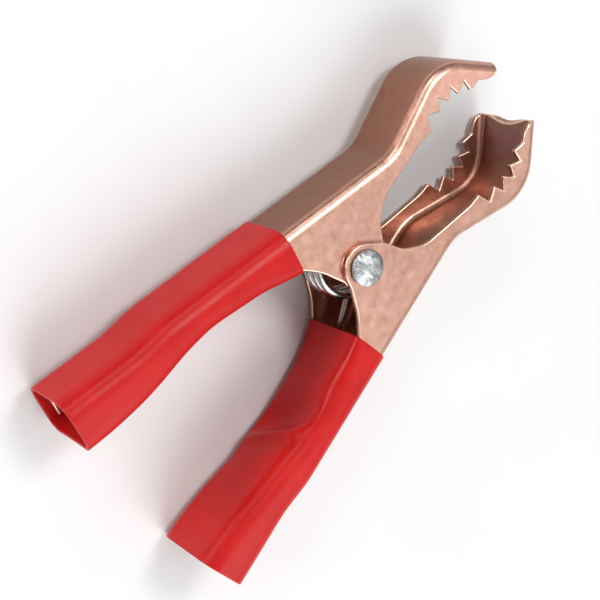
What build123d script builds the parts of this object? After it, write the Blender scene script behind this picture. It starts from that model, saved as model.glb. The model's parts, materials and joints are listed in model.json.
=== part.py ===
from build123d import *
import os
from math import asin, cos, degrees, radians, sin, sqrt

os.makedirs("parts", exist_ok=True)

# A test clip of the alligator kind, lying on its side. Its two sheet-metal arms cross at a rivet,
# and a torsion spring round the rivet holds the jaws shut.
# Frame: Z is the pivot axis and z = 0 the surface that the clip lies on, X runs from the handles
# to the jaws along the mid line, and Y is the way the jaws open. The clip is stored part open.
# Each arm is drawn closed, as the +Y arm, with the pivot at 0,0 and the mid-plane at z = 0.

# Driving dimensions, in millimetres and degrees
REST_HALF_OPENING = 8.03      # each arm's turn from closed to the stored position
OUTER_WIDTH = 12.0            # outside width of the arm whose ears are outside
EAR_GAP = 0.07                # between the two arms' ears, on each side
SHEET = 0.7                   # sheet thickness of both arms
BEND_RADIUS = 1.5             # outside radius where the web turns into the flanges
RIVET_RADIUS = 1.55
RIVET_CLEARANCE = 0.05        # running clearance in the inner arm's ears
HEAD_RADIUS = 2.45
HEAD_HEIGHT = 1.25
HEAD_RIM = 0.25               # straight rim below the dome
TAIL_RADIUS = 2.1
TAIL_HEIGHT = 0.8
TAIL_ROUND = 0.4
WIRE = 1.2                    # spring wire diameter
COIL_RADIUS = 4.4             # mean radius of the coil
COIL_PITCH = 1.46
COIL_TURNS = 3                # full turns, besides the part turn between the legs
LEG_ANGLE = 57.0              # where the legs leave the coil, either side of +X
LEG_REACH = 14.0              # how far along the handle the legs run
SLEEVE_WALL = 0.5

MID_Z = OUTER_WIDTH / 2 + TAIL_HEIGHT
INNER_WIDTH = OUTER_WIDTH - 2 * (SHEET + EAR_GAP)

# The handle is a straight channel. Points on it are given by the distance s from the pivot's
# foot towards the handle's end, and the depth d below the web's outer face.
HANDLE_SLOPE = 19.5
HANDLE_FOOT = (0.0, 11.15)
HANDLE_LENGTH = 38.2          # to the end of the metal
CRANK_START, CRANK_END, CRANK_DEPTH = 23.5, 28.5, 0.7
# Depth of the flanges, and of the sleeve's open side, along the handle, as (distance, depth)
FLANGE_DEPTHS = ((38.2, 6.0), (30.5, 5.45), (23.5, 3.95), (17.0, 3.3), (10.5, 3.6), (5.6, 4.65))
SLEEVE_DEPTHS = ((39.4, 7.8), (35.3, 7.6), (30.5, 7.05), (23.5, 5.45), (17.0, 4.6), (9.4, 5.1), (4.2, 6.15))
SLEEVE_START, SLEEVE_END = 4.2, 39.4
SLEEVE_FIT = 0.03             # between the sleeve and the channel that it is pulled over

# Web of the jaw: bend behind the jaw, top of the hump, and where the nose runs out
JAW_BEND = (13.87, 6.24)
HUMP = (27.5, 8.85)
NOSE = (33.6, 0.4)
JAW_BEND_RADIUS, HUMP_RADIUS, CRANK_RADIUS = 6.0, 7.0, 9.0

# Teeth: tips and gullets lie on two arcs about one centre, from the largest tooth to the front
TOOTH_CENTRE = (22.86, -3.06)
TIP_ARC, GULLET_ARC = 6.86, 8.41
TIP_ANGLES = (116.0, 91.8, 75.1, 60.4, 43.6)
GULLET_ANGLES = (103.0, 84.3, 67.6, 51.6, 34.0)

EAR_RADIUS = 3.25
LIP_Y = 0.05                  # half the gap left between the closed lips
SCOOP = 0.9                   # how far the web's front edge is set back at its middle


def on_handle(s, d):
    """A point at distance s along the handle and depth d below its web."""
    a = radians(HANDLE_SLOPE)
    return (HANDLE_FOOT[0] - s * cos(a) - d * sin(a), HANDLE_FOOT[1] + s * sin(a) - d * cos(a))


def beyond(start, through, reach):
    """The point that lies reach past through, on the line from start."""
    dx, dy = through[0] - start[0], through[1] - start[1]
    k = reach / sqrt(dx * dx + dy * dy)
    return (through[0] + k * dx, through[1] + k * dy)


def polar(centre, radius, angle):
    a = radians(angle)
    return (centre[0] + radius * cos(a), centre[1] + radius * sin(a))


def web_line():
    """The web's outer face seen from the side, run on past both ends of the arm."""
    end = on_handle(HANDLE_LENGTH + 6, CRANK_DEPTH)
    points = [end, on_handle(CRANK_END, CRANK_DEPTH), on_handle(CRANK_START, 0), JAW_BEND, HUMP,
              beyond(HUMP, NOSE, 6)]
    return FilletPolyline(*points, radius=[CRANK_RADIUS, CRANK_RADIUS, JAW_BEND_RADIUS, HUMP_RADIUS])


def side_region():
    """Everything below the web's outer face, far past the flanges."""
    web = web_line()
    start, stop = web @ 0, web @ 1
    low = -24
    rest = Polyline((stop.X, stop.Y), (stop.X + 3, low), (start.X - 9, low), (start.X, start.Y))
    return make_face([*web.edges(), *rest.edges()])


def rounded_block(region, width, radius):
    """The region as a block, with its web rounded over to both flanges."""
    block = extrude(region, width / 2, both=True)
    top = [e for e in block.edges() if abs(e.center().Z) > width / 2 - 0.01 and e.center().Y > -6]
    return fillet(top, radius)


def tooth_points():
    points = []
    for tip, gullet in zip(TIP_ANGLES, GULLET_ANGLES):
        points += [polar(TOOTH_CENTRE, TIP_ARC, tip), polar(TOOTH_CENTRE, GULLET_ARC, gullet)]
    return points


def flange_region():
    """The outline that trims the flanges: handle edge, ear, throat, teeth and lip."""
    far = 30
    rear_low = polar((0, 0), EAR_RADIUS, 180)
    handle_edge = Spline(*[on_handle(s, d) for s, d in FLANGE_DEPTHS],
                         (-5.1, 6.1), (-4.2, 4.2), (-3.6, 2.0), rear_low,
                         tangents=[(cos(radians(-8)), sin(radians(-8))), (0, -1)])
    end_low = handle_edge @ 0
    end_top = on_handle(HANDLE_LENGTH, -4)
    front_low = polar((0, 0), EAR_RADIUS, -62)
    ear = ThreePointArc(rear_low, polar((0, 0), EAR_RADIUS, -121), front_low)
    throat = FilletPolyline(front_low, (3.95, -1.15), (6.1, 1.75), (9.2, 3.4), (17.9, 3.5),
                            radius=[1.3, 3.5, 5])
    teeth = Polyline((17.9, 3.5), *tooth_points())
    lobe = ThreePointArc(teeth @ 1, (30.55, 0.72), (31.7, LIP_Y))
    lip = Polyline(lobe @ 1, (32.7, LIP_Y), (33.5, 0.75), (37, 3), (37, far),
                   (end_top[0], far), end_top, end_low)
    edges = [handle_edge, ear, throat, teeth, lobe, lip]
    return make_face([e for part in edges for e in part.edges()])


def nose_scoop(width):
    """The hollow in the web's front edge, between its two corner lobes."""
    half, low = width / 2 - 0.8, -3
    wave = Spline((-half, LIP_Y - 0.3), (-half + 1.6, LIP_Y + 0.25), (0, LIP_Y + SCOOP),
                  (half - 1.6, LIP_Y + 0.25), (half, LIP_Y - 0.3))
    below = Polyline(wave @ 1, (half, low), (-half, low), wave @ 0)
    # drawn as (z, y), then stood up across the nose and pushed along X
    upright = Plane(origin=(30, 0, 0), x_dir=(0, 0, 1), z_dir=(-1, 0, 0))
    return extrude(upright * make_face([wave, *below.edges()]), -8)


def arm(width, hole_radius):
    """One arm: a channel bent from sheet, drawn closed as the +Y arm."""
    region = side_region()
    shell = rounded_block(region, width, BEND_RADIUS)
    hollow = rounded_block(offset(region, -SHEET), width - 2 * SHEET, BEND_RADIUS - SHEET)
    hole = Cylinder(hole_radius, width + 4)
    return (shell - hollow) & extrude(flange_region(), width, both=True) - nose_scoop(width) - hole


def lies_on(edge, curve):
    c = edge.center()
    return curve.distance_to(Vertex(c.X, c.Y, 0)) < 0.02


def sleeve_block(width, grow, start, end):
    """The space round the handle, grown past the metal by grow, with its long edges rounded."""
    web = FilletPolyline(on_handle(start, -grow), on_handle(CRANK_START, -grow),
                         on_handle(CRANK_END, CRANK_DEPTH - grow), on_handle(end, CRANK_DEPTH - grow),
                         radius=CRANK_RADIUS)
    inset = SLEEVE_FIT + SLEEVE_WALL - grow
    depths = [(end, SLEEVE_DEPTHS[0][1]), *SLEEVE_DEPTHS[1:-1], (start, SLEEVE_DEPTHS[-1][1])]
    edge = Spline(*[on_handle(s, d - inset) for s, d in depths])
    region = make_face([*web.edges(), Line(web @ 1, edge @ 0), edge, Line(edge @ 1, web @ 0)])
    half = width / 2 + grow
    block = extrude(region, half, both=True)
    for curve, radius in ((web, BEND_RADIUS + grow), (edge, 2 * grow)):
        side = [e for e in block.edges() if abs(e.center().Z) > half - 0.01 and lies_on(e, curve)]
        block = fillet(side, radius)
    return block


def sleeve(width):
    """The tube pulled over one handle, open at both ends."""
    outside = sleeve_block(width, SLEEVE_FIT + SLEEVE_WALL, SLEEVE_START, SLEEVE_END)
    inside = sleeve_block(width, SLEEVE_FIT, SLEEVE_START - 0.4, SLEEVE_END + 1)
    return outside - inside


def rivet():
    """Domed head on the +Z side, shank, and a tail pressed flat at z = 0."""
    under_head = MID_Z + OUTER_WIDTH / 2
    rim, top = under_head + HEAD_RIM, under_head + HEAD_HEIGHT
    dome = top - rim
    dome_radius = (HEAD_RADIUS ** 2 + dome ** 2) / (2 * dome)
    tilt = degrees(asin(HEAD_RADIUS / dome_radius)) / 2
    tail_corner = polar((TAIL_RADIUS - TAIL_ROUND, TAIL_ROUND), TAIL_ROUND, -45)
    dome_middle = polar((0, top - dome_radius), dome_radius, 90 - tilt)
    side = [Line((0, 0), (TAIL_RADIUS - TAIL_ROUND, 0)),
            ThreePointArc((TAIL_RADIUS - TAIL_ROUND, 0), tail_corner, (TAIL_RADIUS, TAIL_ROUND)),
            Polyline((TAIL_RADIUS, TAIL_ROUND), (TAIL_RADIUS, TAIL_HEIGHT), (RIVET_RADIUS, TAIL_HEIGHT),
                     (RIVET_RADIUS, under_head), (HEAD_RADIUS, under_head), (HEAD_RADIUS, rim)),
            ThreePointArc((HEAD_RADIUS, rim), dome_middle, (0, top)),
            Line((0, top), (0, 0))]
    profile = make_face([e for part in side for e in part.edges()])
    return revolve(Plane.XZ * profile, Axis.Z)


def spring():
    """The torsion spring: a coil round the rivet, and a leg along the inside of each handle's web.

    It is drawn about z = 0 in the stored position. Its two ends mirror each other in Y and Z."""
    height = COIL_PITCH * (COIL_TURNS + 2 * LEG_ANGLE / 360)
    coil_line = Helix(COIL_PITCH, height, COIL_RADIUS, center=(0, 0, -height / 2))
    coil_line = coil_line.rotate(Axis.Z, -LEG_ANGLE)
    start, away = coil_line @ 0, (coil_line % 0) * -1
    round_wire = Plane(origin=start, z_dir=away) * Circle(WIRE / 2)
    coil = sweep(round_wire, path=coil_line)
    # the leg goes straight on until its wire touches the web's inside, then turns along the web
    web_angle = radians(-(90 - HANDLE_SLOPE) - REST_HALF_OPENING)
    web_normal = Vector(cos(web_angle), sin(web_angle), 0)
    web_depth = HANDLE_FOOT[1] * cos(radians(HANDLE_SLOPE)) - SHEET - WIRE / 2 - 0.02
    corner = start + away * ((web_depth - start.dot(web_normal)) / away.dot(web_normal))
    along = Vector(web_normal.Y, -web_normal.X, 0)
    tip = corner + along * (LEG_REACH - (corner - web_normal * web_depth).length)
    leg_line = FilletPolyline(start, corner, tip, radius=2.5)
    leg = sweep(Plane(origin=start, z_dir=away) * Circle(WIRE / 2), path=leg_line)
    other_leg = leg.rotate(Axis.X, 180)
    ball = Sphere(WIRE / 2)
    return coil + leg + other_leg + Pos(*start) * ball + Pos(*(coil_line @ 1)) * ball


def place_upper(shape):
    return Pos(0, 0, MID_Z) * shape.rotate(Axis.Z, REST_HALF_OPENING)


def place_lower(shape):
    return Pos(0, 0, MID_Z) * mirror(shape, Plane.XZ).rotate(Axis.Z, -REST_HALF_OPENING)


parts = {
    "lower_arm": place_lower(arm(OUTER_WIDTH, RIVET_RADIUS)),
    "upper_arm": place_upper(arm(INNER_WIDTH, RIVET_RADIUS + RIVET_CLEARANCE)),
    "pivot_rivet": rivet(),
    "torsion_spring": Pos(0, 0, MID_Z) * spring(),
    "lower_sleeve": place_lower(sleeve(OUTER_WIDTH)),
    "upper_sleeve": place_upper(sleeve(INNER_WIDTH)),
}
for node, shape in parts.items():
    export_step(shape, f"parts/{node}.step")
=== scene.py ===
"""The looks of the alligator clip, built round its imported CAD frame.

Lengths are in millimetres in the helpers and become metres where a mesh is made.
"""
import json
from math import atan2, cos, exp, hypot, pi, radians, sin, tau

import bmesh
import bpy
from mathutils import Matrix, Vector, noise


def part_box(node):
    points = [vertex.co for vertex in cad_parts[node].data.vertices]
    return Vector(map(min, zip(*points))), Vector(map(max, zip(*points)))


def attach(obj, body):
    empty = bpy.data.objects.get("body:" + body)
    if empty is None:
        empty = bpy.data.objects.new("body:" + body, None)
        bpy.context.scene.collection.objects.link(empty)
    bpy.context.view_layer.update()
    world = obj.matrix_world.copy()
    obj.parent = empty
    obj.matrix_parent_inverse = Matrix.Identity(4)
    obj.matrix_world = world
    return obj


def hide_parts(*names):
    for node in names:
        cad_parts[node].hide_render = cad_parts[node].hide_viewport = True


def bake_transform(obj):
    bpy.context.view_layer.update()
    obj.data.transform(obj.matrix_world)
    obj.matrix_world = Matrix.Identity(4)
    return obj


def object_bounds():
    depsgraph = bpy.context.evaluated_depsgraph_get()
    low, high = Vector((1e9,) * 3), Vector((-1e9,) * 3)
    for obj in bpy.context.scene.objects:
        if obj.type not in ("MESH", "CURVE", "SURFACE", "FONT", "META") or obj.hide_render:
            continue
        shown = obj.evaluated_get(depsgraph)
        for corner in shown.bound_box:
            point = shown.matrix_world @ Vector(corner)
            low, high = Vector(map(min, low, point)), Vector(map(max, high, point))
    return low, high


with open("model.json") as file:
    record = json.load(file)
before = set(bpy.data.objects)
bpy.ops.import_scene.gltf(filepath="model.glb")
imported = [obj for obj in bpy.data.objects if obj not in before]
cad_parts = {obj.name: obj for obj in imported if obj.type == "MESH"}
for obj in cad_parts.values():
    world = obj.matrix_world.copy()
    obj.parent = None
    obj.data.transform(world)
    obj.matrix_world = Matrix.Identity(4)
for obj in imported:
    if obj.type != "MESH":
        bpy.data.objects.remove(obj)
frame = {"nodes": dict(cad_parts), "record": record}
cad_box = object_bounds()

MM = 0.001
LOWER, UPPER = "lower_half", "upper_half"

# From the frame: how high the pivot's middle lies. The rest are sizes that the CAD model uses too.
PIVOT_Z = frame["record"]["behaviour"]["joints"][0]["pos_m"][2] / MM
REST_HALF_OPENING = 8.03      # degrees that each arm is turned from closed when the clip is at rest
SHEET = 0.7                   # sheet thickness of both arms


def node_size(node):
    """How long a CAD node is along X, Y and Z, in millimetres."""
    low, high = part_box(node)
    return [(b - a) / MM for a, b in zip(low, high)]


OUTER_WIDTH = node_size("lower_arm")[2]
INNER_WIDTH = node_size("upper_arm")[2]
FLANGE_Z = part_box("lower_arm")[1][2] / MM      # the near flange's outer face
HEAD_TOP_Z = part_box("pivot_rivet")[1][2] / MM  # the top of the rivet's dome

# The handle: s runs from the pivot's foot towards the handle's end, d is the depth below its web
HANDLE_SLOPE = radians(19.5)
HANDLE_FOOT = 11.15                            # the web's height over the pivot where s is 0
CRANK_START, CRANK_END, CRANK_DEPTH = 23.5, 28.5, 0.7
SLEEVE_START, SLEEVE_END = 4.2, 39.4


# ---------------------------------------------------------------- small helpers

def smooth(t, low, high):
    """0 before low, 1 after high, and an even S between."""
    t = min(1.0, max(0.0, (t - low) / (high - low)))
    return t * t * (3 - 2 * t)


def bump(t, centre, width):
    """1 at the centre, fading to nothing at about twice the width."""
    return exp(-((t - centre) / width) ** 2)


def curve_through(points, t):
    """The height at t of a smooth curve through a few (place, height) points."""
    n = len(points)
    i = max(0, min(n - 2, sum(t > p[0] for p in points) - 1))

    def slope(k):
        low, high = points[max(k - 1, 0)], points[min(k + 1, n - 1)]
        return (high[1] - low[1]) / (high[0] - low[0])

    (a, ya), (b, yb) = points[i], points[i + 1]
    span = b - a
    u = min(1.0, max(0.0, (t - a) / span))
    return ((2 * u ** 3 - 3 * u * u + 1) * ya + (u ** 3 - 2 * u * u + u) * span * slope(i)
            + (3 * u * u - 2 * u ** 3) * yb + (u ** 3 - u * u) * span * slope(i + 1))


def mesh_object(name, verts, faces):
    """A smooth-shaded object from points in millimetres."""
    mesh = bpy.data.meshes.new(name)
    mesh.from_pydata([Vector(v) * MM for v in verts], [], faces)
    mesh.polygons.foreach_set("use_smooth", [True] * len(mesh.polygons))
    mesh.update()
    obj = bpy.data.objects.new(name, mesh)
    bpy.context.scene.collection.objects.link(obj)
    return obj


def bridge(count, rings, closed_end=False):
    """Quads between rings of count points each. closed_end joins the last ring to the first."""
    last = rings if closed_end else rings - 1
    faces = []
    for i in range(last):
        j = (i + 1) % rings
        for k in range(count):
            m = (k + 1) % count
            faces.append((i * count + k, i * count + m, j * count + m, j * count + k))
    return faces


def fix_normals(obj, weld=0.0):
    """Turn every face outwards, after joining any points closer together than weld, in metres."""
    bm = bmesh.new()
    bm.from_mesh(obj.data)
    if weld:
        bmesh.ops.remove_doubles(bm, verts=bm.verts, dist=weld)
    bmesh.ops.recalc_face_normals(bm, faces=bm.faces)
    bm.to_mesh(obj.data)
    bm.free()


def apply_modifiers(obj):
    """The object's mesh becomes what its modifiers make of it."""
    graph = bpy.context.evaluated_depsgraph_get()
    done = bpy.data.meshes.new_from_object(obj.evaluated_get(graph))
    obj.modifiers.clear()
    obj.data = done


# ---------------------------------------------------------------- material nodes

class Nodes:
    """A short way to write a node tree."""

    def __init__(self, name):
        self.material = bpy.data.materials.new(name)
        self.material.use_nodes = True
        self.tree = self.material.node_tree
        self.shader = self.tree.nodes["Principled BSDF"]
        self.place = self.tree.nodes.new("ShaderNodeTexCoord").outputs["Object"]

    def node(self, kind, **values):
        n = self.tree.nodes.new("ShaderNode" + kind)
        for key, value in values.items():
            setattr(n, key, value)
        return n

    def join(self, source, target):
        self.tree.links.new(source, target)

    def noise(self, scale, detail=3.0, rough=0.55, stretch=None, turn=(0, 0, 0), distortion=0.0):
        n = self.node("TexNoise")
        n.inputs["Scale"].default_value = scale
        n.inputs["Detail"].default_value = detail
        n.inputs["Roughness"].default_value = rough
        n.inputs["Distortion"].default_value = distortion
        where = self.place
        if stretch:
            mapping = self.node("Mapping")
            mapping.inputs["Scale"].default_value = stretch
            mapping.inputs["Rotation"].default_value = turn
            self.join(where, mapping.inputs["Vector"])
            where = mapping.outputs["Vector"]
        self.join(where, n.inputs["Vector"])
        return n.outputs["Fac"]

    def ramp(self, source, *stops):
        """stops are (place, value) with a number or a colour for value."""
        n = self.node("ValToRGB")
        elements = n.color_ramp.elements
        while len(elements) < len(stops):
            elements.new(0.5)
        for element, (at, value) in zip(elements, stops):
            element.position = at
            element.color = (*value, 1) if isinstance(value, tuple) else (value, value, value, 1)
        self.join(source, n.inputs["Fac"])
        return n.outputs["Color"]

    def mix(self, factor, a, b):
        n = self.node("Mix", data_type="RGBA")
        for socket, value in ((n.inputs[0], factor), (n.inputs[6], a), (n.inputs[7], b)):
            self.put(socket, value)
        return n.outputs[2]

    def lay_over(self, base, colour, mask, amount):
        """The base colour, with another laid over it by amount wherever the mask is 1."""
        return self.mix(self.math("MULTIPLY", mask, amount), base, colour)

    def math(self, operation, a, b=0.0, clamp=False):
        n = self.node("Math", operation=operation, use_clamp=clamp)
        self.put(n.inputs[0], a)
        self.put(n.inputs[1], b)
        return n.outputs[0]

    def put(self, socket, value):
        if isinstance(value, bpy.types.NodeSocket):
            self.join(value, socket)
        elif isinstance(value, tuple):
            opaque = len(value) == 3 and socket.type == "RGBA"
            socket.default_value = (*value, 1) if opaque else value
        else:
            socket.default_value = value

    def bump(self, height, strength, distance, under=None):
        n = self.node("Bump")
        n.inputs["Strength"].default_value = strength
        n.inputs["Distance"].default_value = distance
        self.join(height, n.inputs["Height"])
        if under is not None:
            self.join(under, n.inputs["Normal"])
        return n.outputs["Normal"]

    def set(self, **values):
        """Fill the shader's sockets, named with _ for each space, and give the material."""
        for name, value in values.items():
            self.put(self.shader.inputs[name.replace("_", " ")], value)
        return self.material


def scratches(n, scale, angle, width):
    """Thin lines along one direction: the narrow band where a stretched noise passes its middle."""
    lines = n.noise(scale, detail=1.0, stretch=(1.0, 0.045, 1.0), turn=(0, 0, radians(angle)),
                    distortion=0.4)
    off = n.math("ABSOLUTE", n.math("SUBTRACT", lines, 0.5))
    patch = n.ramp(n.noise(260, detail=2.0), (0.48, 0.0), (0.62, 1.0))
    return n.math("MULTIPLY", n.ramp(off, (0.0, 1.0), (width, 0.0)), patch)


COPPER_DULL, COPPER_FRESH = (0.66, 0.36, 0.27), (0.78, 0.46, 0.36)
COPPER_GRAIN, COPPER_SCRATCH = (0.50, 0.28, 0.22), (0.42, 0.22, 0.16)
# painted shade for the webs, standing in for a dark reflection
COPPER_WEB_SHADE = (0.24, 0.09, 0.05)
TINT_BROWN, TINT_PURPLE, TINT_GREEN = (0.30, 0.12, 0.10), (0.36, 0.14, 0.24), (0.28, 0.24, 0.14)
JAW_REACHES_PER_METRE = 30.0                   # X times this is just under 1 at the jaw's tip


def copper():
    """Satin copper plating on steel: finely mottled, lightly scratched, and browner on the webs
    with painted shade.
    """
    n = Nodes("copper_plate")
    blotch = n.noise(650, detail=7.0, rough=0.68)
    grain = n.noise(3000, detail=4.0, rough=0.7)
    base = n.mix(n.ramp(blotch, (0.38, 0.0), (0.64, 1.0)), COPPER_DULL, COPPER_FRESH)
    base = n.lay_over(base, COPPER_GRAIN, mask=n.ramp(grain, (0.48, 0.0), (0.72, 1.0)), amount=0.16)
    marks = n.math("ADD", scratches(n, 520, 24, 0.016), scratches(n, 700, -58, 0.016), clamp=True)
    base = n.lay_over(base, COPPER_SCRATCH, mask=marks, amount=0.20)
    # the webs, which face along Y, are painted a darker brown than the flanges: painted shade
    # standing in for the dark reflection they catch
    facing = n.node("SeparateXYZ")
    n.join(n.tree.nodes["Texture Coordinate"].outputs["Normal"], facing.inputs[0])
    web = n.ramp(n.math("ABSOLUTE", facing.outputs["Z"]), (0.15, 1.0), (0.75, 0.0))
    base = n.lay_over(base, COPPER_WEB_SHADE, mask=web, amount=0.80)
    # a faint purple and green heat tint inside the lower jaw, towards its tip
    where = n.node("SeparateXYZ")
    n.join(n.place, where.inputs[0])
    along = n.math("MULTIPLY", where.outputs["X"], JAW_REACHES_PER_METRE)
    tint = n.ramp(along, (0.82, TINT_BROWN), (0.91, TINT_PURPLE), (0.98, TINT_GREEN))
    lower = n.math("LESS_THAN", where.outputs["Y"], 0.0)
    reach = n.math("MULTIPLY", n.ramp(along, (0.80, 0.0), (0.90, 1.0)), lower)
    base = n.lay_over(base, tint, mask=n.math("MULTIPLY", reach, web), amount=0.32)
    rough = n.ramp(n.noise(900, detail=5.0), (0.3, 0.26), (0.7, 0.38))
    skin = n.bump(grain, 0.10, 0.00002)
    skin = n.bump(n.noise(190, detail=2.0), 0.06, 0.0004, under=skin)
    return n.set(Base_Color=base, Metallic=1.0, Roughness=rough, Normal=skin)


def bright_edge():
    """Brighter copper on the rounded edges: partly burnished plating, partly a painted highlight
    along the edges.
    """
    n = Nodes("copper_edge")
    base = n.ramp(n.noise(1500, detail=3.0), (0.35, (0.80, 0.49, 0.37)), (0.65, (0.90, 0.64, 0.50)))
    return n.set(Base_Color=base, Metallic=1.0, Roughness=0.30)


def zinc():
    """Bright zinc, scraped and dulled in patches by the heading tool."""
    n = Nodes("zinc_rivet")
    patch = n.noise(900, detail=5.0, rough=0.65, distortion=0.8)
    dark, grey, pale, scraped = ((0.16, 0.17, 0.18), (0.36, 0.38, 0.39), (0.60, 0.61, 0.62),
                                 (0.93, 0.94, 0.95))
    base = n.ramp(patch, (0.34, dark), (0.52, grey), (0.70, pale))
    marks = n.math("ADD", scratches(n, 2200, 40, 0.05), scratches(n, 2600, -20, 0.05), clamp=True)
    base = n.lay_over(base, scraped, mask=marks, amount=0.7)
    rough = n.ramp(patch, (0.35, 0.58), (0.7, 0.40))
    skin = n.bump(n.noise(1300, detail=4.0, rough=0.7), 0.5, 0.0001)
    return n.set(Base_Color=base, Metallic=1.0, Roughness=rough, Normal=skin)


def spring_wire():
    """Bright drawn wire, a little stained by oil."""
    n = Nodes("spring_wire")
    stain = n.noise(380, detail=2.0)
    base = n.ramp(stain, (0.35, (0.42, 0.41, 0.40)), (0.6, (0.60, 0.60, 0.60)))
    return n.set(Base_Color=base, Metallic=1.0, Roughness=n.ramp(stain, (0.35, 0.20), (0.7, 0.27)))


def vinyl():
    """Soft red vinyl: an even skin with faint draw lines, clouded patches and specks of dust."""
    n = Nodes("red_vinyl")
    cloud = n.noise(170, detail=4.0, rough=0.6)
    deep_red, red, dusty_red = (0.42, 0.004, 0.004), (0.50, 0.007, 0.006), (0.75, 0.30, 0.27)
    base = n.ramp(cloud, (0.3, deep_red), (0.7, red))
    specks = n.node("TexVoronoi", feature="F1")
    specks.inputs["Scale"].default_value = 420
    n.join(n.place, specks.inputs["Vector"])
    dust = n.ramp(specks.outputs["Distance"], (0.0, 1.0), (0.055, 0.0))
    dust = n.math("MULTIPLY", dust, n.ramp(n.noise(130), (0.52, 0.0), (0.6, 1.0)))
    base = n.lay_over(base, dusty_red, mask=dust, amount=0.4)
    rough = n.ramp(n.noise(330, detail=5.0, rough=0.65), (0.3, 0.30), (0.7, 0.42))
    skin = n.bump(n.noise(1500, detail=3.0), 0.10, 0.00004)
    skin = n.bump(n.noise(60, detail=2.0, stretch=(0.25, 1, 1)), 0.10, 0.0008, under=skin)
    return n.set(Base_Color=base, Roughness=rough, Normal=skin, Specular_IOR_Level=0.24,
                 Subsurface_Weight=0.06, Subsurface_Radius=(0.0012, 0.0003, 0.0002),
                 Subsurface_Scale=1.0)


COPPER, EDGE, ZINC, WIRE_STEEL, VINYL = copper(), bright_edge(), zinc(), spring_wire(), vinyl()


# ---------------------------------------------------------------- the two arms

EDGE_ROUNDING = 0.20
SHARP_ANGLE = 40              # degrees: edges that turn by more than this are rounded
EDGE_SLOT = 1                 # the material slot of the rounded edges


def arm_piece(node, body):
    """The CAD arm with its sheared edges broken, as deburring leaves them."""
    piece = bpy.data.objects.new(node + "_sheet", frame["nodes"][node].data.copy())
    bpy.context.scene.collection.objects.link(piece)
    bm = bmesh.new()
    bm.from_mesh(piece.data)
    bmesh.ops.remove_doubles(bm, verts=bm.verts, dist=1e-7)
    bmesh.ops.dissolve_limit(bm, angle_limit=radians(0.4), verts=bm.verts, edges=bm.edges)
    bm.to_mesh(piece.data)
    bm.free()
    # the normals that came with the CAD mesh would hide the rounding
    stored = piece.data.attributes.get("custom_normal")
    if stored:
        piece.data.attributes.remove(stored)
    piece.data.materials.clear()
    piece.data.materials.append(COPPER)
    piece.data.materials.append(EDGE)
    piece.data.polygons.foreach_set("use_smooth", [True] * len(piece.data.polygons))
    rounding = piece.modifiers.new("rounding", "BEVEL")
    rounding.width = EDGE_ROUNDING * MM
    rounding.segments = 3
    rounding.limit_method = "ANGLE"
    rounding.angle_limit = radians(SHARP_ANGLE)
    rounding.use_clamp_overlap = False
    rounding.material = EDGE_SLOT
    even = piece.modifiers.new("even", "WEIGHTED_NORMAL")
    even.weight = 100
    apply_modifiers(piece)
    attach(piece, body)
    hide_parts(node)


# ---------------------------------------------------------------- the rivet

HEAD_RADIUS, SHANK_RADIUS, TAIL_RADIUS = 2.45, 1.55, 2.1
RIM_HEIGHT = 0.42             # where the dome begins, above the flange
DOME_STEPS, RIVET_POINTS = 16, 96
HAMMER_DEPTH = 0.035          # of the shallow marks on the head


def rivet_piece():
    """Headed rivet: a struck dome lifted a hair off the flange at its rim, and a flattened tail."""
    near, top = FLANGE_Z, HEAD_TOP_Z
    far = near - OUTER_WIDTH
    head, shank, tail = HEAD_RADIUS, SHANK_RADIUS, TAIL_RADIUS
    rim = near + RIM_HEIGHT
    dome = top - rim
    radius = (head * head + dome * dome) / (2 * dome)
    # (radius, height) up the side: the tail, the shank, then the raised underside of the head
    profile = [(0.0, 0.0), (tail * 0.5, 0.0), (tail - 0.4, 0.02), (tail - 0.12, 0.13), (tail, 0.4),
               (tail - 0.02, far - 0.1), (tail - 0.2, far), (shank, far), (shank, near),
               (1.95, near), (2.05, near + 0.14), (head - 0.12, near + 0.20), (head, near + 0.30)]
    for i in range(DOME_STEPS + 1):
        a = atan2(head, radius - dome) * (1 - i / DOME_STEPS)
        profile.append((radius * sin(a), top - radius + radius * cos(a)))
    verts = []
    for r, z in profile:
        on_head = z > near + 0.15
        for k in range(RIVET_POINTS):
            a = tau * k / RIVET_POINTS
            x, y = r * cos(a), r * sin(a)
            dent = HAMMER_DEPTH * noise.noise(Vector((x * 1.3, y * 1.3, 4.2))) if on_head else 0.0
            out_of_round = 1 + 0.006 * sin(3 * a + 1.0) + 0.004 * sin(5 * a)
            verts.append((x * out_of_round, y * out_of_round, z - abs(dent)))
    piece = mesh_object("rivet_body", verts, bridge(RIVET_POINTS, len(profile)))
    fix_normals(piece, weld=1e-6)
    piece.data.materials.append(ZINC)
    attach(piece, LOWER)
    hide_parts("pivot_rivet")


# ---------------------------------------------------------------- the torsion spring

WIRE, COIL_RADIUS, COIL_PITCH, COIL_TURNS = 1.2, 4.4, 1.46, 3
LEG_ANGLE, LEG_REACH, LEG_BEND = 57.0, 14.0, 2.5
LEG_GAP = 0.02                # between each leg and the web that it presses on
COIL_HEIGHT = COIL_PITCH * (COIL_TURNS + 2 * LEG_ANGLE / 360)
COIL_STEPS, STRAIGHT_STEPS, BEND_STEPS, WIRE_POINTS = 220, 12, 10, 20
CUT_SHRINK, CUT_PROUD = 0.86, 0.08             # the wire's cut ends, a little smaller and proud


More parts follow.
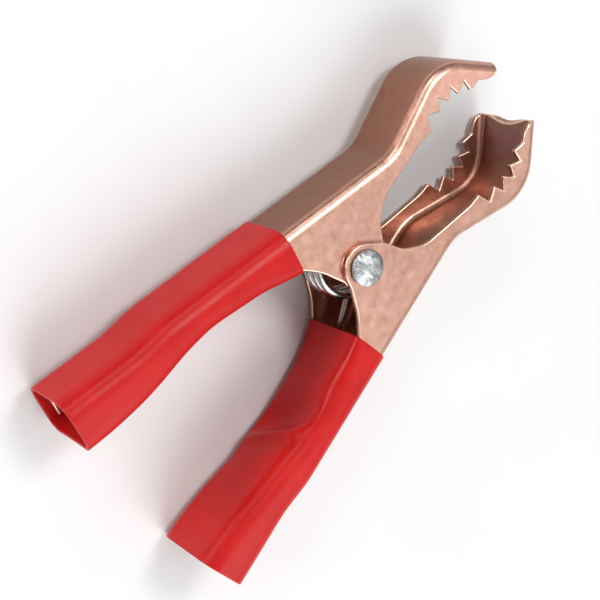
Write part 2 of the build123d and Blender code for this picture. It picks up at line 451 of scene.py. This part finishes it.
def spring_line():
    """Points along the wire, from one leg's tip round the coil to the other's, about the pivot."""
    sweep = COIL_TURNS * 360 + 2 * LEG_ANGLE
    coil = []
    for i in range(COIL_STEPS + 1):
        a = radians(-LEG_ANGLE + sweep * i / COIL_STEPS)
        z = -COIL_HEIGHT / 2 + COIL_HEIGHT * i / COIL_STEPS
        coil.append(Vector((COIL_RADIUS * cos(a), COIL_RADIUS * sin(a), z)))
    start = coil[0]
    away = (coil[0] - coil[1]).normalized()
    angle = -(pi / 2 - HANDLE_SLOPE) - radians(REST_HALF_OPENING)
    normal = Vector((cos(angle), sin(angle), 0))
    depth = HANDLE_FOOT * cos(HANDLE_SLOPE) - SHEET - WIRE / 2 - LEG_GAP
    corner = start + away * ((depth - start.dot(normal)) / away.dot(normal))
    along = Vector((normal.y, -normal.x, 0))
    tip = corner + along * (LEG_REACH - (corner - normal * depth).length)
    leg = rounded_corner(start, corner, tip, LEG_BEND)
    mirrored = [Vector((p.x, -p.y, -p.z)) for p in leg]
    return list(reversed(leg)) + coil[1:-1] + mirrored


def rounded_corner(a, b, c, radius):
    """Points from a to c, turning at b on an arc of the given radius."""
    u, v = (a - b).normalized(), (c - b).normalized()
    half = u.angle(v) / 2
    reach = radius / (sin(half) / cos(half))
    centre = b + (u + v).normalized() * (radius / sin(half))
    first, last = b + u * reach - centre, b + v * reach - centre
    points = [a + (b + u * reach - a) * (i / STRAIGHT_STEPS) for i in range(STRAIGHT_STEPS)]
    points += [centre + first.slerp(last, i / BEND_STEPS) for i in range(BEND_STEPS + 1)]
    end = b + v * reach
    points += [end + (c - end) * (i / STRAIGHT_STEPS) for i in range(1, STRAIGHT_STEPS + 1)]
    return points


def tube(name, line, radius, count):
    """A round wire along a line, with its two ends cut and slightly rounded."""
    rings = []
    side = Vector((0, 0, 1))
    for i, p in enumerate(line):
        ahead = line[min(i + 1, len(line) - 1)] - line[max(i - 1, 0)]
        ahead.normalize()
        side = (side - ahead * side.dot(ahead)).normalized()
        across = ahead.cross(side)
        rings.append([p + (side * cos(tau * k / count) + across * sin(tau * k / count)) * radius
                      for k in range(count)])

    def cap(ring, centre, outwards):
        return [centre + (q - centre) * CUT_SHRINK + outwards * CUT_PROUD for q in ring]

    first_way = (line[0] - line[1]).normalized()
    last_way = (line[-1] - line[-2]).normalized()
    rings = [cap(rings[0], line[0], first_way)] + rings + [cap(rings[-1], line[-1], last_way)]
    verts = [v for ring in rings for v in ring]
    faces = bridge(count, len(rings))
    faces.append(tuple(range(count)))
    faces.append(tuple(reversed(range(len(verts) - count, len(verts)))))
    piece = mesh_object(name, verts, faces)
    fix_normals(piece)
    return piece


def spring_piece():
    line = [p + Vector((0, 0, PIVOT_Z)) for p in spring_line()]
    piece = tube("torsion_spring_wire", line, WIRE / 2, WIRE_POINTS)
    piece.data.materials.append(WIRE_STEEL)
    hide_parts("torsion_spring")
    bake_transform(piece)


# ---------------------------------------------------------------- the sleeves

def on_handle(s, d):
    """Where s along the handle and d below its web lies, on the closed arm, about the pivot."""
    x = -s * cos(HANDLE_SLOPE) - d * sin(HANDLE_SLOPE)
    y = HANDLE_FOOT + s * sin(HANDLE_SLOPE) - d * cos(HANDLE_SLOPE)
    return x, y


def to_row(point, upper):
    """From the closed arm's own plane to the row frame at rest."""
    x, y, z = point
    a = radians(REST_HALF_OPENING)
    x, y = x * cos(a) - y * sin(a), x * sin(a) + y * cos(a)
    return (x, y if upper else -y, z + PIVOT_Z)


SECTION_POINTS, CORNER_STEPS = 72, 12


def section(half_width, top, bottom, top_radius, near_radius, far_radius):
    """A rounded box outline as (z, d) points, top at the web, evenly spaced all the way round."""
    # each corner's place and radius, which way it points along z and d, and where its arc starts
    corners = [(half_width, bottom, near_radius, 1, 1, pi / 2),
               (half_width, top, top_radius, 1, -1, 0.0),
               (-half_width, top, top_radius, -1, -1, -pi / 2),
               (-half_width, bottom, far_radius, -1, 1, -pi)]
    outline = []
    for z, d, r, z_way, d_way, start in corners:
        for i in range(CORNER_STEPS + 1):
            a = start - (pi / 2) * i / CORNER_STEPS
            outline.append((z - z_way * r + r * cos(a), d - d_way * r + r * sin(a)))
    lengths = [0.0]
    loop = outline + [outline[0]]
    for a, b in zip(loop, loop[1:]):
        lengths.append(lengths[-1] + hypot(b[0] - a[0], b[1] - a[1]))
    points, j = [], 0
    for k in range(SECTION_POINTS):
        want = lengths[-1] * k / SECTION_POINTS
        while lengths[j + 1] < want:
            j += 1
        t = (want - lengths[j]) / max(lengths[j + 1] - lengths[j], 1e-9)
        a, b = loop[j], loop[j + 1]
        points.append((a[0] + (b[0] - a[0]) * t, a[1] + (b[1] - a[1]) * t))
    return points


WALL = 0.5
SLEEVE_GROW = 0.53            # how far the tube's outside stands off the channel
SLEEVE_RINGS = 120
WEB_CORNER = 2.6              # outside radius of the tube's two corners beside the web
START_CORNER = 1.3            # of the near corner of the open side, where the tube begins
FAR_CORNER, FAR_CORNER_GAIN = 1.5, 0.5         # of the far corner, and how much it grows by the end
GAIN_START = 25               # where along the handle it begins to grow
CUT_BREAK = 0.10              # how much of the wall each corner of the cut edge takes


def sleeve_piece(name, node, body, width, upper, near, far, near_radius, dent):
    """A thin tube pulled over the handle: its own section at every place along it, then dents.

    near and far give the depth of the tube's open side along the near and the far flange.
    """
    half = width / 2
    outer, inner = [], []
    for i in range(SLEEVE_RINGS + 1):
        s = SLEEVE_START + (SLEEVE_END - SLEEVE_START) * i / SLEEVE_RINGS
        top = CRANK_DEPTH * smooth(s, CRANK_START - 1, CRANK_END + 1)
        low_near, low_far = curve_through(near, s), curve_through(far, s)
        low = (low_near + low_far) / 2
        far_corner = FAR_CORNER + FAR_CORNER_GAIN * smooth(s, GAIN_START, SLEEVE_END)
        opening_out = smooth(s, SLEEVE_START + 1, SLEEVE_START + 7)
        near_corner = START_CORNER + (near_radius - START_CORNER) * opening_out
        for inset, store in ((0.0, outer), (WALL, inner)):
            ring = section(half + SLEEVE_GROW - inset, top - SLEEVE_GROW + inset, low - inset,
                           WEB_CORNER - inset, near_corner - inset, far_corner - inset)
            points = []
            for z, d in ring:
                share = (d - top) / (low - top)
                tilt = (low_near - low_far) / 2 * z / half * smooth(share, 0.2, 1.0)
                x, y = on_handle(s, d + tilt + dent(s, z / half, share))
                points.append(to_row((x, y, z), upper))
            store.append(points)
    count = len(outer[0])

    def lip(out_ring, in_ring, beyond):
        """The cut edge, with its two corners just broken."""
        return [[tuple(p + (q - p) * t + (p - r) * CUT_BREAK for p, q, r in zip(u, v, w))
                 for u, v, w in zip(out_ring, in_ring, beyond)]
                for t in (CUT_BREAK, 1 - CUT_BREAK)]

    start_lip = lip(outer[0], inner[0], outer[1])
    end_lip = lip(outer[-1], inner[-1], outer[-2])
    rings = outer + end_lip + list(reversed(inner)) + list(reversed(start_lip))
    verts = [p for ring in rings for p in ring]
    piece = mesh_object(name, verts, bridge(count, len(rings), closed_end=True))
    fix_normals(piece)
    rounding = piece.modifiers.new("subdivision", "SUBSURF")
    rounding.levels = rounding.render_levels = 1
    apply_modifiers(piece)
    piece.data.materials.append(VINYL)
    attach(piece, body)
    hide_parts(node)


# A dent is how much deeper the tube lies at s along it. across runs from about -1 to 1 over its
# width, and share from about 0 at the web to 1 at the open side.

def upper_dent(s, across, share):
    """A shallow hollow where the tube spans between the flanges' edges."""
    under = smooth(share, 0.75, 1.0) * max(1 - across * across, 0)
    return -0.3 * under * smooth(s, 6, 14)


CREASE_PLACE, CREASE_SLANT = 20.6, 2.5


def lower_dent(s, across, share):
    """The open side is pinched in, then folded out over a slanting crease."""
    under = smooth(share, 0.6, 1.0) * max(1 - across * across, 0)
    fold = s - CREASE_PLACE + CREASE_SLANT * across
    ridge = 0.68 * bump(fold, 0.0, 1.0)
    pinch = 1.0 * bump(fold, -3.4, 2.4)
    swell = 0.25 * bump(fold, 4.0, 3.0)
    return (ridge - pinch + swell) * under


# Depth of each tube's open side beside the near and the far flange, as (s, depth)
UPPER_NEAR = ((4.2, 6.1), (6.5, 5.7), (9.4, 5.25), (13.6, 4.95), (17.8, 4.7), (20.5, 4.95),
              (23.5, 5.5), (27.5, 6.5), (31.0, 7.15), (35.3, 7.6), (39.4, 7.75))
LOWER_NEAR = ((4.2, 6.1), (8.0, 5.5), (12.0, 5.25), (16.0, 5.0), (19.0, 5.1), (23.0, 5.75),
              (27.5, 6.5), (32.0, 7.15), (39.4, 7.75))
LOWER_FAR = ((4.2, 5.9), (7.2, 4.8), (10.0, 4.3), (13.3, 4.1), (16.7, 4.1), (20.5, 4.5),
             (23.2, 4.75), (26.1, 5.0), (30.7, 6.15), (34.8, 6.95), (39.4, 7.4))


# ---------------------------------------------------------------- floor, light and camera

FLOOR_SIZE = 3.0              # in metres, as are the lights' sizes and places
FLOOR_GREY, FLOOR_PALE = (0.69, 0.69, 0.69), (0.72, 0.72, 0.72)


def floor():
    bpy.ops.mesh.primitive_plane_add(size=FLOOR_SIZE, location=(0, 0, cad_box[0][2]))
    plane = bpy.context.object
    plane.name = "floor"
    n = Nodes("floor_paper")
    tone = n.ramp(n.noise(30, detail=4.0), (0.3, FLOOR_GREY), (0.7, FLOOR_PALE))
    plane.data.materials.append(n.set(Base_Color=tone, Roughness=0.75))


LIGHT_TARGET = Vector((0, 0, 0.007))
SKY_TOWARDS = (0.15, -0.75, 0.65)              # where the sky is brightest
SKY_DIM, SKY_BRIGHT = 0.04, 0.63


def area_light(name, size, power, place):
    """A rectangle of light, sized in metres and powered in watts, that faces the clip."""
    data = bpy.data.lights.new(name, "AREA")
    data.shape = "RECTANGLE"
    data.size, data.size_y = size
    data.energy = power
    lamp = bpy.data.objects.new(name, data)
    lamp.location = place
    lamp.rotation_euler = (LIGHT_TARGET - Vector(place)).to_track_quat("-Z", "Y").to_euler()
    bpy.context.scene.collection.objects.link(lamp)


def lights():
    """Five soft lamps, and a sky that brightens towards one side."""
    area_light("key", (0.55, 0.55), 3.0, (-0.22, -0.36, 0.40))
    area_light("top", (0.16, 0.16), 1.1, (0.20, 0.13, 0.46))
    area_light("side", (0.30, 0.10), 1.3, (-0.25, 0.45, 0.09))
    area_light("rim", (0.30, 0.10), 0.5, (0.12, 0.40, 0.27))
    area_light("sheen", (0.12, 0.12), 0.07, (0.25, -0.17, 0.36))
    world = bpy.data.worlds.new("studio")
    world.use_nodes = True
    tree = world.node_tree
    place = tree.nodes.new("ShaderNodeTexCoord").outputs["Generated"]
    lean = tree.nodes.new("ShaderNodeVectorMath")
    lean.operation = "DOT_PRODUCT"
    lean.inputs[1].default_value = SKY_TOWARDS
    tree.links.new(place, lean.inputs[0])
    tone = tree.nodes.new("ShaderNodeMapRange")
    for name, value in (("From Min", -0.6), ("From Max", 1.0), ("To Min", SKY_DIM),
                        ("To Max", SKY_BRIGHT)):
        tone.inputs[name].default_value = value
    tree.links.new(lean.outputs["Value"], tone.inputs["Value"])
    tree.links.new(tone.outputs["Result"], tree.nodes["Background"].inputs["Strength"])
    tree.nodes["Background"].inputs["Color"].default_value = (1, 1, 1, 1)
    bpy.context.scene.world = world
    bpy.context.scene.view_settings.view_transform = "Standard"


CAMERA_TARGET = (-7.36, -0.60, -1.84)           # from the middle of the pivot
CAMERA_DISTANCE = 194.87
CAMERA_AZIMUTH, CAMERA_ELEVATION, CAMERA_ROLL = 115.63, 55.22, -110.17
LENS, SENSOR_WIDTH = 87.8, 36.0
NEAREST_SEEN = 0.01                            # in metres


def camera():
    """The camera turns about the clip by azimuth and elevation, then rolls about its own line."""
    data = bpy.data.cameras.new("camera")
    data.lens = LENS
    data.sensor_width = SENSOR_WIDTH
    data.clip_start = NEAREST_SEEN
    turn, lift, roll = radians(CAMERA_AZIMUTH), radians(CAMERA_ELEVATION), radians(CAMERA_ROLL)
    back = Vector((cos(lift) * cos(turn), cos(lift) * sin(turn), sin(lift)))
    level_up = Vector((-sin(lift) * cos(turn), -sin(lift) * sin(turn), cos(lift)))
    up = cos(roll) * level_up + sin(roll) * level_up.cross(back)
    right = up.cross(back)
    eye = Vector(CAMERA_TARGET) + Vector((0, 0, PIVOT_Z)) + back * CAMERA_DISTANCE
    obj = bpy.data.objects.new("camera", data)
    turned = Matrix((right, up, back)).transposed().to_4x4()
    obj.matrix_world = Matrix.Translation(eye * MM) @ turned
    bpy.context.scene.collection.objects.link(obj)
    bpy.context.scene.camera = obj


arm_piece("lower_arm", LOWER)
arm_piece("upper_arm", UPPER)
rivet_piece()
spring_piece()
sleeve_piece("lower_sleeve_tube", "lower_sleeve", LOWER, OUTER_WIDTH, False,
             LOWER_NEAR, LOWER_FAR, 2.5, lower_dent)
sleeve_piece("upper_sleeve_tube", "upper_sleeve", UPPER, INNER_WIDTH, True,
             UPPER_NEAR, UPPER_NEAR, 2.0, upper_dent)
floor()
lights()
camera()
